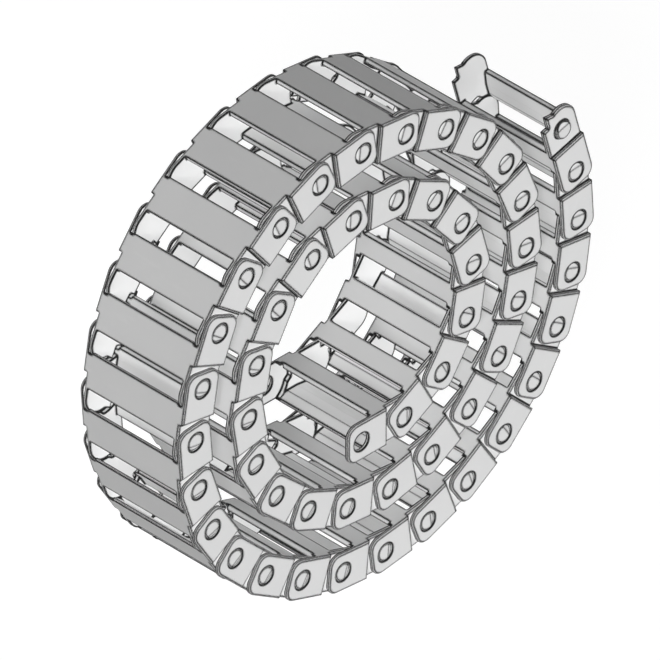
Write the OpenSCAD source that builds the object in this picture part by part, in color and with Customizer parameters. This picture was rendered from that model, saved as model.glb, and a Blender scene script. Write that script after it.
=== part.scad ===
// Cable drag chain, coiled up on its edge.
// The coil stands in the XZ plane, +Z is up and every hinge axis runs along Y.
// Each link is one moulding: two side walls joined by an outer and an inner cross plate.
// Link 1 is the inner end of the coil and the last link is the free outer end.

/* [Chain] */
// Number of links
links = 50; // [2:1:60]
// Distance between the two hinge axes of a link
pitch = 20; // [19.8:0.1:26]
// Bending radius at which a joint reaches its stop
bend_radius = 38; // [36:1:48]

/* [Coil] */
// Radius of the coil at its innermost hinge axis
core_radius = 39.2; // [36:0.1:80]
// Free space between one turn of links and the next
turn_gap = 9.67; // [6:0.01:30]
// Direction of the innermost hinge axis, seen from the middle of the coil
core_angle = -99.16; // [-180:0.01:180]

/* [Link body] */
// Height of a link, across both cross plates
link_height = 15; // [14.4:0.1:18]
// Clear width of the cable channel
channel_width = 40; // [12:1:80]
// Thickness of the inner cross plate
plate_thickness = 2.4; // [1.4:0.1:3]
// Start of the outer cross plate, measured from the link's own pins
outer_plate_start = 2.1; // [0.5:0.1:4]
// Thickness of the outer cross plate where it starts
outer_plate_lip = 1.85; // [1.4:0.05:2.5]
// Thickness of the outer cross plate at its crown, its flat middle
crown_thickness = 2.57; // [2.5:0.01:3]
// Start of the crown, measured from the link's own pins
crown_start = 7.2; // [5:0.1:9]
// End of the crown, measured from the link's own pins
crown_end = 11.6; // [10:0.1:12]
// Thickness of the outer cross plate at its far end
outer_plate_tip = 1.2; // [0.8:0.1:2]
// Space between the outer cross plate's far end and the bore axis
outer_plate_setback = 4.6; // [3:0.1:6.5]
// Start of the inner cross plate, measured from the link's own pins
inner_plate_start = 6; // [4:0.1:8]
// Space between the inner cross plate's far end and the bore axis
inner_plate_setback = 6.3; // [4.8:0.1:7]
// Bevel along the outside edges of the walls
edge_bevel = 0.5; // [0.2:0.05:0.8]

/* [Ears] */
// Thickness of an ear, the outer half of a side wall
ear_thickness = 1.4; // [1:0.1:3]
// Reach of an ear beyond its bore axis
ear_reach = 6.3; // [5.5:0.1:7]
// Radius of an ear's two far corners
ear_corner = 4.2; // [2:0.1:5]
// Gap between an ear's far end and the next link's shoulder in the tightest bend
shoulder_gap = 0.17; // [0.1:0.01:0.5]

/* [Tongues] */
// Thickness of a tongue, the inner half of a side wall
tongue_thickness = 1.7; // [1.2:0.1:3]
// Reach of a tongue beyond its pin axis
tongue_reach = 8.45; // [7.9:0.05:8.8]
// Radius of a tongue's big round corner, on the outside of the bend
tongue_corner = 6.5; // [5.5:0.1:7]
// Reach of the stop horn beyond the pin axis
horn_reach = 9; // [8.6:0.1:9.4]
// Depth of the horn's root below the pin axis
horn_root = 1.75; // [1:0.05:2.5]
// Reach of the tongue's heel, below the horn, beyond the pin axis
heel_reach = 4.2; // [2:0.1:4.5]

/* [Pins] */
// Radius of the snap-in pins
pin_radius = 3.35; // [2.5:0.05:4]
// Radial clearance of a pin in its bore
pin_clearance = 0.05; // [0.01:0.01:0.1]
// Depth of a pin's end below the outside face of the ear
pin_recess = 0.1; // [0:0.05:0.4]
// Bevel round a pin's end
pin_bevel = 0.3; // [0.1:0.05:0.5]
// Distance from the pin axis to the top of its lead-in slope
ramp_start = 1.4; // [0.5:0.1:2.5]
// Height of the pin's wall that is left below the lead-in slope
ramp_foot = 0.6; // [0.2:0.1:1]

/* [Clearances] */
// Gap between a tongue and the ear and plates beside it
side_gap = 0.1; // [0.05:0.05:0.3]
// Gap round a tongue in the pocket that it swings in
swing_gap = 0.15; // [0.1:0.05:0.4]
// Gap left at the stops, straight and fully bent
stop_gap = 0.1; // [0.05:0.05:0.3]

/* [Hidden] */
$fn = 64;

half_height = link_height / 2;
channel_floor = plate_thickness - half_height;
wall_in = channel_width / 2;
tongue_face = wall_in + tongue_thickness;
ear_in = tongue_face + side_gap;
ear_face = ear_in + ear_thickness;
bore_radius = pin_radius + pin_clearance;
pin_end = ear_face - pin_recess;

// the largest bend of a joint, and where the parts of the stops lie
max_bend = 2 * asin(pitch / 2 / bend_radius);
tongue_centre = [tongue_corner - tongue_reach, half_height - tongue_corner];
horn_base = [
    tongue_centre.x - sqrt(tongue_corner ^ 2 - (tongue_centre.y + horn_root) ^ 2),
    -horn_root
];
horn_tip = [-horn_reach, channel_floor + stop_gap];
heel = [-heel_reach, -half_height];
swing_radius = max(norm(tongue_centre) + tongue_corner, norm(heel)) + swing_gap;
horn_swing_radius = norm(horn_tip) + swing_gap;

// an ear's far corner turns this far towards the next link's shoulder
corner_centre = [ear_reach - ear_corner, half_height - ear_corner];
corner_turn = min(max_bend, atan2(corner_centre.y, corner_centre.x));
shoulder = corner_centre.x * cos(corner_turn) + corner_centre.y * sin(corner_turn)
    + ear_corner + shoulder_gap;

// the coil is an Archimedean spiral that the hinge axes follow in equal steps
turn_spacing = link_height + turn_gap;
growth = turn_spacing / 360;
turned = [
    for (n = 0, a = 0; n <= links; a = a + step_angle(core_radius + growth * a), n = n + 1) a
];
hinges = [for (a = turned) spiral_point(a)];

// the discs and corners that a link's side outline is wrapped round: x, y and radius
outline = [
    [tongue_centre.x, tongue_centre.y, tongue_corner],
    [horn_tip.x, horn_tip.y, 0],
    [heel.x, heel.y, 0],
    [pitch + corner_centre.x, corner_centre.y, ear_corner],
    [pitch + corner_centre.x, -corner_centre.y, ear_corner]
];

// the coil stands on the XY plane, over the origin
left = -coil_reach([-1, 0]);
right = coil_reach([1, 0]);
below = coil_reach([0, -1]);
coil_place = [-(left + right) / 2, 0, below];

function link_name(n) = str("link_", n < 10 ? "0" : "", n);

function spiral_point(a) =
    (core_radius + growth * a) * [cos(core_angle + a), sin(core_angle + a)];

// the turn, seen from the middle, from a hinge axis at radius r to the next one outwards
function step_angle(r, guess = 10, tries = 12) =
    let (far = r + growth * guess)
    tries == 0
        ? guess
        : step_angle(r, acos((r ^ 2 + far ^ 2 - pitch ^ 2) / (2 * r * far)), tries - 1);

// how far the coil reaches in a direction from its middle
function coil_reach(direction) = max([for (n = [1 : links]) link_reach(n, direction)]);

function link_reach(n, direction) =
    let (
        along = (hinges[n - 1] - hinges[n]) / pitch,
        up = [-along.y, along.x]
    )
    max([
        for (disc = outline)
            (hinges[n] + disc.x * along + disc.y * up) * direction + disc.z
    ]);

function rotated(p, a) = [p.x * cos(a) - p.y * sin(a), p.x * sin(a) + p.y * cos(a)];

// A side outline, x along the link and y towards the outside of the coil, made solid
// from one distance off the middle plane to another
module across(from, to) {
    translate([0, to, 0])
        rotate([90, 0, 0])
            linear_extrude(to - from) children();
}

// A bar along the link, with its outside edges bevelled at the given heights
module bevelled_bar(x_from, x_to, low, high, in, out, bevel_low = true, bevel_high = true) {
    cut_low = bevel_low ? edge_bevel : 0;
    cut_high = bevel_high ? edge_bevel : 0;
    translate([x_from, 0, 0])
        rotate([90, 0, 90])
            linear_extrude(x_to - x_from)
                polygon([
                    [in, low],
                    [out - cut_low, low],
                    [out, low + cut_low],
                    [out, high - cut_high],
                    [out - cut_high, high],
                    [in, high]
                ]);
}

// A disc in the side wall, bevelled round its outside face
module bevelled_disc(centre, r, in, out) {
    translate([centre.x, in, centre.y])
        rotate([-90, 0, 0])
            rotate_extrude()
                polygon([
                    [0, 0],
                    [r, 0],
                    [r, out - in - edge_bevel],
                    [r - edge_bevel, out - in],
                    [0, out - in]
                ]);
}

// Cuts a bevel along a straight edge of an outside face; the solid lies left of the edge
module edge_cut(from, to, out, before = edge_bevel, after = edge_bevel) {
    run = to - from;
    translate([from.x, out, from.y])
        rotate([0, -atan2(run.y, run.x), 0])
            translate([-before, 0, 0])
                rotate([90, 0, 90])
                    linear_extrude(norm(run) + before + after)
                        polygon([
                            [edge_bevel, edge_bevel * 2],
                            [-edge_bevel * 2, -edge_bevel],
                            [edge_bevel, -edge_bevel]
                        ]);
}

// The tongue: the inner half of a side wall, with the big round corner, the stop horn and the heel
module tongue() {
    notch_width = tongue_reach + horn_reach;
    difference() {
        union() {
            bevelled_disc(tongue_centre, tongue_corner, wall_in, tongue_face);
            bevelled_bar(tongue_centre.x, shoulder + edge_bevel, -half_height, half_height,
                wall_in, tongue_face);
            bevelled_bar(heel.x, tongue_centre.x, -half_height, tongue_centre.y,
                wall_in, tongue_face, bevel_high = false);
            across(wall_in, tongue_face)
                polygon([
                    tongue_centre,
                    horn_base,
                    horn_tip,
                    [heel.x, horn_tip.y],
                    [tongue_centre.x, horn_tip.y]
                ]);
        }
        translate([heel.x - notch_width, wall_in - 1, heel.y - 1])
            cube([notch_width, tongue_thickness + 2, horn_tip.y - heel.y + 1]);
        edge_cut(horn_base, horn_tip, tongue_face);
        edge_cut(horn_tip, [heel.x, horn_tip.y], tongue_face, after = 0);
        edge_cut([heel.x, horn_tip.y], heel, tongue_face, before = 0);
    }
}

// The ear, and behind its near end the full thickness of the side wall
module ear() {
    far_centre = [pitch + corner_centre.x, corner_centre.y];
    end = pitch + ear_reach;
    difference() {
        union() {
            bevelled_bar(shoulder, far_centre.x, -half_height, half_height, wall_in, ear_face);
            for (side = [-1, 1])
                bevelled_disc([far_centre.x, side * far_centre.y], ear_corner, wall_in, ear_face);
            translate([0, 0, -far_centre.y])
                linear_extrude(2 * far_centre.y)
                    polygon([
                        [far_centre.x, wall_in],
                        [end, wall_in],
                        [end, ear_face - edge_bevel],
                        [end - edge_bevel, ear_face],
                        [far_centre.x, ear_face]
                    ]);
        }
        edge_cut([shoulder, half_height], [shoulder, -half_height], ear_face);
    }
}

// The space that the next link's tongue swings in, with the stops at its two ends
module pocket_outline() {
    from = rotated(horn_base, -max_bend);
    to = rotated(horn_tip, -max_bend);
    along = (to - from) / norm(to - from);
    off = stop_gap * [along.y, -along.x];
    translate([pitch, 0]) {
        circle(swing_radius);
        translate([0, -link_height])
            square([ear_reach + 1, 2 * link_height]);
        intersection() {
            circle(horn_swing_radius);
            polygon([
                [0, 0],
                from + off,
                to + off + along * horn_reach,
                [-2 * horn_reach, channel_floor],
                [0, channel_floor]
            ]);
        }
    }
}

// The snap-in pin on a tongue, with the slope that spreads the ears during assembly
module pin() {
    foot = [-pin_radius, tongue_face + ramp_foot];
    top = [-ramp_start, pin_end];
    slope = foot - top;
    difference() {
        translate([0, wall_in, 0])
            rotate([-90, 0, 0])
                rotate_extrude()
                    polygon([
                        [0, 0],
                        [pin_radius, 0],
                        [pin_radius, pin_end - wall_in - pin_bevel],
                        [pin_radius - pin_bevel, pin_end - wall_in],
                        [0, pin_end - wall_in]
                    ]);
        translate([0, 0, -link_height / 2])
            linear_extrude(link_height)
                polygon([top, foot, foot + slope, [foot.x + slope.x, pin_end + 1], [top.x, pin_end + 1]]);
    }
}

module side_wall() {
    difference() {
        union() {
            tongue();
            ear();
        }
        across(wall_in - side_gap, ear_in) pocket_outline();
        translate([pitch, wall_in, 0])
            rotate([-90, 0, 0])
                cylinder(h = link_height, r = bore_radius);
    }
    pin();
}

// The outer cross plate's section: thin at both ends, with a flat crown towards the channel
module outer_plate_outline() {
    end = pitch - outer_plate_setback;
    polygon([
        [outer_plate_start, half_height],
        [outer_plate_start, half_height - outer_plate_lip],
        [crown_start, half_height - crown_thickness],
        [crown_end, half_height - crown_thickness],
        [end, half_height - outer_plate_tip],
        [end, half_height]
    ]);
}

// The inner cross plate's section
module inner_plate_outline() {
    translate([inner_plate_start, -half_height])
        square([pitch - inner_plate_setback - inner_plate_start, plate_thickness]);
}

// A cross plate of the given section, between the two side walls
module cross_plate() {
    half_width = wall_in + tongue_thickness / 2;
    difference() {
        across(-half_width, half_width) children();
        for (side = [0, 1])
            mirror([0, side, 0])
                across(wall_in - side_gap, ear_in) pocket_outline();
    }
}

// One link, with its own pins on the Y axis and its bores one pitch along X
module drag_link() {
    for (side = [0, 1])
        mirror([0, side, 0]) side_wall();
    cross_plate() outer_plate_outline();
    cross_plate() inner_plate_outline();
}

module chain_link(n) {
    own_pins = hinges[n];
    run = hinges[n - 1] - own_pins;
    color("gainsboro")
        translate(coil_place + [own_pins.x, 0, own_pins.y])
            rotate([0, -atan2(run.y, run.x), 0])
                drag_link();
}

for (n = [1 : links])
    chain_link(n);
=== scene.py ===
# %% [markdown]
# # A cable drag chain, coiled up on its edge
#
# A drag chain carries cables and hoses on a moving machine. It is a row of
# equal plastic links: each link has two side walls and two cross plates, and
# two round pins that snap into the next link's walls. This chain has 50 links
# and stands rolled up, as it comes from its maker.
#
# The links are exact solids already, so this lesson makes no new shapes. It
# gives the solids the finish of moulded grey plastic, and then it builds a
# pale studio around them.

# %% Load the chain
from math import pi, radians

import bpy
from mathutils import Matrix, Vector

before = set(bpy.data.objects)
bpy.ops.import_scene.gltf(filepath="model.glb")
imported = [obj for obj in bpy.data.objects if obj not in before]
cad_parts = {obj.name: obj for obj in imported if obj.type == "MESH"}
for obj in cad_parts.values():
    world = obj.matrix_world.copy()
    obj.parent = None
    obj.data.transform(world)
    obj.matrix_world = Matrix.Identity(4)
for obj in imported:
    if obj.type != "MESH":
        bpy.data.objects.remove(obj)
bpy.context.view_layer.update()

LINKS = [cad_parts[name] for name in sorted(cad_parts)]
MILLIMETRE = 0.001
print("links loaded:", len(LINKS))

# %% [markdown]
# ## Small helpers for materials
#
# A material is a small network of nodes. It could be clicked together by hand,
# but a few helpers make the same network in code, the same way on each run:
# one adds a node and sets its values, one joins two sockets. A shader node
# group is a network with named inputs and outputs. It keeps each effect apart
# from the material that uses it, and its inputs' defaults are its settings.

# %% Node helpers
NUMBER = "NodeSocketFloat"


def add_node(tree, kind, label, **settings):
    node = tree.nodes.new(kind)
    node.label = label
    node.name = label
    for name, value in settings.items():
        setattr(node, name, value)
    return node


def join(tree, from_socket, to_socket):
    tree.links.new(from_socket, to_socket)


def new_effect(name, inputs, outputs):
    """A shader node group; inputs are (name, type, default), outputs (name, type)."""
    tree = bpy.data.node_groups.new(name, "ShaderNodeTree")
    for title, kind, default in inputs:
        socket = tree.interface.new_socket(name=title, in_out="INPUT", socket_type=kind)
        socket.default_value = default
    for title, kind in outputs:
        tree.interface.new_socket(name=title, in_out="OUTPUT", socket_type=kind)
    entry = add_node(tree, "NodeGroupInput", "Inputs")
    result = add_node(tree, "NodeGroupOutput", "Outputs")
    return tree, entry.outputs, result.inputs


def use_effect(tree, effect, label):
    return add_node(tree, "ShaderNodeGroup", label, node_tree=effect)


print("helpers ready")

# %% [markdown]
# ## Where the edges are
#
# Every edge of a link shows as a thin dark line, as in a shaded technical
# drawing. The lines could be drawn with thin tubes, but 50 links have thousands
# of edges. The Bevel node finds them all by itself: it gives the normal that a
# rounded edge would have, and wherever that differs from the flat face's own
# normal, an edge is near. The group puts out a mask, 1 on an edge and 0 away
# from it. Flat and Sharp are cosines of the angle between the two normals: the
# mask starts at Flat and is full at Sharp.

# %% Edge line effect
EDGE_WIDTH = 1.2 * MILLIMETRE
FLAT_COSINE, SHARP_COSINE = 0.9985, 0.992
EDGE_SAMPLES = 8


def make_edge_line():
    tree, given, result = new_effect(
        "edge_line",
        [
            ("Width", NUMBER, EDGE_WIDTH),
            ("Flat", NUMBER, FLAT_COSINE),
            ("Sharp", NUMBER, SHARP_COSINE),
        ],
        [("Mask", NUMBER)],
    )
    rounded = add_node(tree, "ShaderNodeBevel", "Rounded normal", samples=EDGE_SAMPLES)
    join(tree, given["Width"], rounded.inputs["Radius"])
    face = add_node(tree, "ShaderNodeNewGeometry", "Face normal")
    alike = add_node(tree, "ShaderNodeVectorMath", "How alike", operation="DOT_PRODUCT")
    join(tree, rounded.outputs["Normal"], alike.inputs[0])
    join(tree, face.outputs["True Normal"], alike.inputs[1])
    mask = add_node(tree, "ShaderNodeMapRange", "Mask from angle")
    mask.interpolation_type = "SMOOTHSTEP"
    join(tree, alike.outputs["Value"], mask.inputs["Value"])
    join(tree, given["Flat"], mask.inputs["From Min"])
    join(tree, given["Sharp"], mask.inputs["From Max"])
    join(tree, mask.outputs["Result"], result["Mask"])
    return tree


edge_line = make_edge_line()
print("effect made:", edge_line.name)

# %% [markdown]
# ## The skin of moulded plastic
#
# A steel mould with a spark-eroded face leaves a fine, even grain on the
# plastic, far finer than a millimetre. Displaced geometry would need millions
# of faces, so the grain is only height for a Bump node: two sizes of noise,
# one for the grain itself and one for the slow waviness of the moulded wall.

# %% Moulded grain effect
GRAIN_PER_METRE, GRAIN_DETAIL = 3500.0, 2.0
WAVES_PER_METRE, WAVES_DETAIL = 90.0, 1.0
WAVINESS = 0.35


def make_moulded_grain():
    tree, given, result = new_effect(
        "moulded_grain",
        [
            ("Grain per metre", NUMBER, GRAIN_PER_METRE),
            ("Waves per metre", NUMBER, WAVES_PER_METRE),
            ("Waviness", NUMBER, WAVINESS),
        ],
        [("Height", NUMBER)],
    )
    place = add_node(tree, "ShaderNodeTexCoord", "Place on the part")
    grain = add_node(tree, "ShaderNodeTexNoise", "Grain")
    grain.inputs["Detail"].default_value = GRAIN_DETAIL
    waves = add_node(tree, "ShaderNodeTexNoise", "Waves")
    waves.inputs["Detail"].default_value = WAVES_DETAIL
    for noise, scale in ((grain, "Grain per metre"), (waves, "Waves per metre")):
        join(tree, place.outputs["Object"], noise.inputs["Vector"])
        join(tree, given[scale], noise.inputs["Scale"])
    both = add_node(tree, "ShaderNodeMath", "Grain and waves", operation="MULTIPLY_ADD")
    join(tree, waves.outputs["Fac"], both.inputs[0])
    join(tree, given["Waviness"], both.inputs[1])
    join(tree, grain.outputs["Fac"], both.inputs[2])
    join(tree, both.outputs["Value"], result["Height"])
    return tree


moulded_grain = make_moulded_grain()
print("effect made:", moulded_grain.name)

# %% [markdown]
# ## Tone that is never quite even
#
# Links come out of many mould cavities and are handled and stacked, so no two
# patches of the chain have exactly the same grey or the same shine. A broad
# noise moves the tone by a few parts in a hundred. A finer one, stretched along
# the width of the chain, stands for faint rubbing marks.

# %% Uneven tone effect
CLOUDS_PER_METRE, CLOUD_DETAIL = 45.0, 3.0
RUBS_PER_METRE, RUB_DETAIL, RUB_BREAKUP = 260.0, 5.0, 0.65
RUB_STRETCH = (1.0, 0.25, 1.0)
RUB_START, RUB_FULL = 0.55, 0.75


def make_uneven_tone():
    tree, given, result = new_effect(
        "uneven_tone",
        [
            ("Clouds per metre", NUMBER, CLOUDS_PER_METRE),
            ("Rubs per metre", NUMBER, RUBS_PER_METRE),
        ],
        [("Cloud", NUMBER), ("Rub", NUMBER)],
    )
    place = add_node(tree, "ShaderNodeTexCoord", "Place on the part")
    cloud = add_node(tree, "ShaderNodeTexNoise", "Clouds")
    cloud.inputs["Detail"].default_value = CLOUD_DETAIL
    join(tree, place.outputs["Object"], cloud.inputs["Vector"])
    join(tree, given["Clouds per metre"], cloud.inputs["Scale"])
    join(tree, cloud.outputs["Fac"], result["Cloud"])
    stretch = add_node(tree, "ShaderNodeMapping", "Stretch along the width")
    stretch.inputs["Scale"].default_value = RUB_STRETCH
    join(tree, place.outputs["Object"], stretch.inputs["Vector"])
    rub = add_node(tree, "ShaderNodeTexNoise", "Rubbing marks")
    rub.inputs["Detail"].default_value = RUB_DETAIL
    rub.inputs["Roughness"].default_value = RUB_BREAKUP
    join(tree, stretch.outputs["Vector"], rub.inputs["Vector"])
    join(tree, given["Rubs per metre"], rub.inputs["Scale"])
    peaks = add_node(tree, "ShaderNodeMapRange", "Only the strongest")
    peaks.interpolation_type = "SMOOTHSTEP"
    peaks.inputs["From Min"].default_value = RUB_START
    peaks.inputs["From Max"].default_value = RUB_FULL
    join(tree, rub.outputs["Fac"], peaks.inputs["Value"])
    join(tree, peaks.outputs["Result"], result["Rub"])
    return tree


uneven_tone = make_uneven_tone()
print("effect made:", uneven_tone.name)

# %% [markdown]
# ## Grey plastic
#
# The whole chain is one light grey nylon with a satin skin, too rough to mirror
# anything. The plastic's colour starts from two near greys, mixed by the clouds.
# Then the rubbing marks lighten it and the edge lines turn it nearly black.
# Roughness follows the clouds a little, and the normal comes from rounded edges
# with the moulded grain on top.

# %% Grey plastic material
PLASTIC_LIGHT = (0.715, 0.715, 0.712, 1.0)
PLASTIC_DEEP = (0.655, 0.657, 0.660, 1.0)
PLASTIC_RUBBED = (0.770, 0.770, 0.768, 1.0)
EDGE_DARK = (0.004, 0.004, 0.004, 1.0)
RUB_STRENGTH = 0.25
ROUGH_LOW, ROUGH_HIGH = 0.50, 0.60
SHINE_LEVEL = 0.2
EDGE_ROUNDING = 0.12 * MILLIMETRE
ROUNDING_SAMPLES = 6
GRAIN_DEPTH = 0.02 * MILLIMETRE
GRAIN_STRENGTH = 0.35
PLASTIC_IOR = 1.5
FIRST_COLOUR, SECOND_COLOUR, MIXED_COLOUR = 6, 7, 2


def mix_colours(tree, label, amount, first, second):
    node = add_node(tree, "ShaderNodeMix", label, data_type="RGBA")
    for place, value in ((FIRST_COLOUR, first), (SECOND_COLOUR, second)):
        socket = node.inputs[place]
        if isinstance(value, tuple):
            socket.default_value = value
        else:
            join(tree, value, socket)
    join(tree, amount, node.inputs[0])
    return node.outputs[MIXED_COLOUR]


def scaled(tree, label, value, factor):
    node = add_node(tree, "ShaderNodeMath", label, operation="MULTIPLY")
    join(tree, value, node.inputs[0])
    node.inputs[1].default_value = factor
    return node.outputs[0]


def make_grey_plastic():
    material = bpy.data.materials.new("grey_plastic_moulded")
    material.use_nodes = True
    tree = material.node_tree
    plastic = tree.nodes["Principled BSDF"]
    tone = use_effect(tree, uneven_tone, "Uneven tone")
    edges = use_effect(tree, edge_line, "Edge line")
    grain = use_effect(tree, moulded_grain, "Moulded grain")

    body = mix_colours(tree, "Clouded grey", tone.outputs["Cloud"], PLASTIC_DEEP, PLASTIC_LIGHT)
    rub = scaled(tree, "Rub strength", tone.outputs["Rub"], RUB_STRENGTH)
    rubbed = mix_colours(tree, "Rubbed grey", rub, body, PLASTIC_RUBBED)
    lined = mix_colours(tree, "Grey with edges", edges.outputs["Mask"], rubbed, EDGE_DARK)
    join(tree, lined, plastic.inputs["Base Color"])

    shine = add_node(tree, "ShaderNodeMapRange", "Roughness")
    shine.inputs["To Min"].default_value = ROUGH_LOW
    shine.inputs["To Max"].default_value = ROUGH_HIGH
    join(tree, tone.outputs["Cloud"], shine.inputs["Value"])
    join(tree, shine.outputs["Result"], plastic.inputs["Roughness"])

    rounded = add_node(tree, "ShaderNodeBevel", "Rounded edges", samples=ROUNDING_SAMPLES)
    rounded.inputs["Radius"].default_value = EDGE_ROUNDING
    bump = add_node(tree, "ShaderNodeBump", "Grain bump")
    bump.inputs["Strength"].default_value = GRAIN_STRENGTH
    bump.inputs["Distance"].default_value = GRAIN_DEPTH
    join(tree, grain.outputs["Height"], bump.inputs["Height"])
    join(tree, rounded.outputs["Normal"], bump.inputs["Normal"])
    join(tree, bump.outputs["Normal"], plastic.inputs["Normal"])
    plastic.inputs["IOR"].default_value = PLASTIC_IOR
    plastic.inputs["Specular IOR Level"].default_value = SHINE_LEVEL
    return material


grey_plastic = make_grey_plastic()
print("material made:", grey_plastic.name)
print("nodes in it:", len(grey_plastic.node_tree.nodes))

# %% [markdown]
# ## Dress the links
#
# Each link is one moulding in one colour, so it takes one material. A new
# object could be laid over each solid, but the solids have the real shape, so
# they keep it and only their material slot changes.

# %% Put the plastic on every link
for link in LINKS:
    for slot in link.material_slots:
        slot.material = grey_plastic
print("links dressed:", len(LINKS))

# %% [markdown]
# ## Floor and background
#
# The chain stands on a plain white floor in front of a white background. More
# light would make the floor white, and would wash out the chain as well.
# Instead the floor glows, but only for rays that show the background, on top of
# the light it catches. So it looks white, still takes the soft shadow, and
# doesn't light the chain.

# %% Floor
FLOOR_HALF = 6.0
FLOOR_WHITE = (0.25, 0.25, 0.25, 1.0)
FLOOR_GLOW = 0.91


def seen_directly(tree):
    """1 for rays that show the background: to the camera, mirrored or through glass."""
    rays = add_node(tree, "ShaderNodeLightPath", "Kind of ray")
    some = add_node(tree, "ShaderNodeMath", "Camera or mirror", operation="MAXIMUM")
    join(tree, rays.outputs["Is Camera Ray"], some.inputs[0])
    join(tree, rays.outputs["Is Glossy Ray"], some.inputs[1])
    any_ray = add_node(tree, "ShaderNodeMath", "Or through glass", operation="MAXIMUM")
    join(tree, some.outputs[0], any_ray.inputs[0])
    join(tree, rays.outputs["Is Transmission Ray"], any_ray.inputs[1])
    return any_ray.outputs[0]


def make_floor_paint():
    material = bpy.data.materials.new("floor_white")
    material.use_nodes = True
    tree = material.node_tree
    tree.nodes.clear()
    matt = add_node(tree, "ShaderNodeBsdfDiffuse", "Matt white")
    matt.inputs["Color"].default_value = FLOOR_WHITE
    glow = add_node(tree, "ShaderNodeEmission", "Own glow")
    glow_strength = scaled(tree, "Glow strength", seen_directly(tree), FLOOR_GLOW)
    join(tree, glow_strength, glow.inputs["Strength"])
    both = add_node(tree, "ShaderNodeAddShader", "White with glow")
    join(tree, matt.outputs[0], both.inputs[0])
    join(tree, glow.outputs[0], both.inputs[1])
    out = add_node(tree, "ShaderNodeOutputMaterial", "Floor surface")
    join(tree, both.outputs[0], out.inputs["Surface"])
    return material


floor_mesh = bpy.data.meshes.new("studio_floor")
signs = [(-1, -1), (1, -1), (1, 1), (-1, 1)]
corners = [(x * FLOOR_HALF, y * FLOOR_HALF, 0.0) for x, y in signs]
floor_mesh.from_pydata(corners, [], [(0, 1, 2, 3)])
floor_mesh.materials.append(make_floor_paint())
floor = bpy.data.objects.new("studio_floor", floor_mesh)
bpy.context.scene.collection.objects.link(floor)
print("floor is", 2 * FLOOR_HALF, "m across")

# %% [markdown]
# ## Room light
#
# The room gives a weak even light from all sides, and a white background
# where the camera looks past the floor. One world does both: its strength is
# low for light rays and 1, plain white, for rays that show the background.

# %% World
ROOM_LIGHT = 0.04
BACKGROUND_WHITE = (1.0, 1.0, 1.0, 1.0)
BACKGROUND_LIGHT = 1.0

world = bpy.data.worlds.new("white_room")
bpy.context.scene.world = world
world.use_nodes = True
room = world.node_tree
backdrop = room.nodes["Background"]
backdrop.inputs["Color"].default_value = BACKGROUND_WHITE
strength = add_node(room, "ShaderNodeMapRange", "Light or background")
strength.inputs["To Min"].default_value = ROOM_LIGHT
strength.inputs["To Max"].default_value = BACKGROUND_LIGHT
join(room, seen_directly(room), strength.inputs["Value"])
join(room, strength.outputs["Result"], backdrop.inputs["Strength"])
print("room light:", ROOM_LIGHT)

# %% [markdown]
# ## Lamps
#
# Soft light from the upper left makes every face that looks left bright, and
# leaves the undersides and right-hand faces darker, so the links stand out
# from each other. Flat lights from straight in front and behind lift the side
# walls, and a weak one from the right keeps the dark side readable. Sun lamps
# light a coil and an unrolled chain alike, because their light is the same
# everywhere. A sun of strength pi shows a colour just as it is written on a
# face that it hits squarely, so strengths are given as parts of pi. Only the
# first lamp casts shadows, on the floor and from link to link, and its wide
# angle softens them. The others reach the inside of the links and the space
# between the turns.

# %% Lamps
LAMP_DISTANCE = 2.0
FROM_LEFT = (-0.74, -0.56, 0.40)
FROM_FRONT = (0.05, -1.00, 0.05)
FROM_BEHIND = (-0.05, 1.00, 0.05)
FROM_RIGHT = (1.00, 0.35, 0.00)

# direction towards the lamp, share of pi, width in degrees, casts a shadow
LAMPS = {
    "soft_left": (FROM_LEFT, 0.37, 14.0, True),
    "open_left": (FROM_LEFT, 0.34, 14.0, False),
    "flat_front": (FROM_FRONT, 0.52, 30.0, False),
    "flat_behind": (FROM_BEHIND, 0.50, 30.0, False),
    "weak_right": (FROM_RIGHT, 0.15, 30.0, False),
}


def add_sun(name, towards, share, softness, shadow):
    data = bpy.data.lights.new(name, "SUN")
    data.energy = share * pi
    data.angle = radians(softness)
    data.use_shadow = shadow
    lamp = bpy.data.objects.new(name, data)
    bpy.context.scene.collection.objects.link(lamp)
    direction = Vector(towards).normalized()
    lamp.location = direction * LAMP_DISTANCE
    lamp.rotation_euler = direction.to_track_quat("Z", "Y").to_euler()


for name, (towards, share, softness, shadow) in LAMPS.items():
    add_sun(name, towards, share, softness, shadow)
    print("lamp", name, "from", towards, "share", share)

# %% [markdown]
# ## Camera
#
# The chain is seen as in a technical drawing: from the front left and above,
# along the diagonal of a cube, and with no perspective to speak of. A camera
# with a very long lens, far away, gives that and stays an ordinary camera.

# %% Camera
LENS_MM = 1500.0
SENSOR_MM = 36.0
CAMERA_DISTANCE = 9.04
FARTHEST_SEEN = 100.0
AIM = Vector((-0.01552, -0.01160, 0.09921))
TOWARDS_CAMERA = Vector((-1.0, -1.0, 1.0)).normalized()

camera_data = bpy.data.cameras.new("long_lens")
camera_data.lens = LENS_MM
camera_data.sensor_width = SENSOR_MM
camera_data.clip_end = FARTHEST_SEEN
camera = bpy.data.objects.new("long_lens", camera_data)
bpy.context.scene.collection.objects.link(camera)
camera.location = AIM + TOWARDS_CAMERA * CAMERA_DISTANCE
camera.rotation_euler = TOWARDS_CAMERA.to_track_quat("Z", "Y").to_euler()
bpy.context.scene.camera = camera
bpy.context.scene.view_settings.view_transform = "Standard"
print("camera stands at", tuple(round(c, 3) for c in camera.location))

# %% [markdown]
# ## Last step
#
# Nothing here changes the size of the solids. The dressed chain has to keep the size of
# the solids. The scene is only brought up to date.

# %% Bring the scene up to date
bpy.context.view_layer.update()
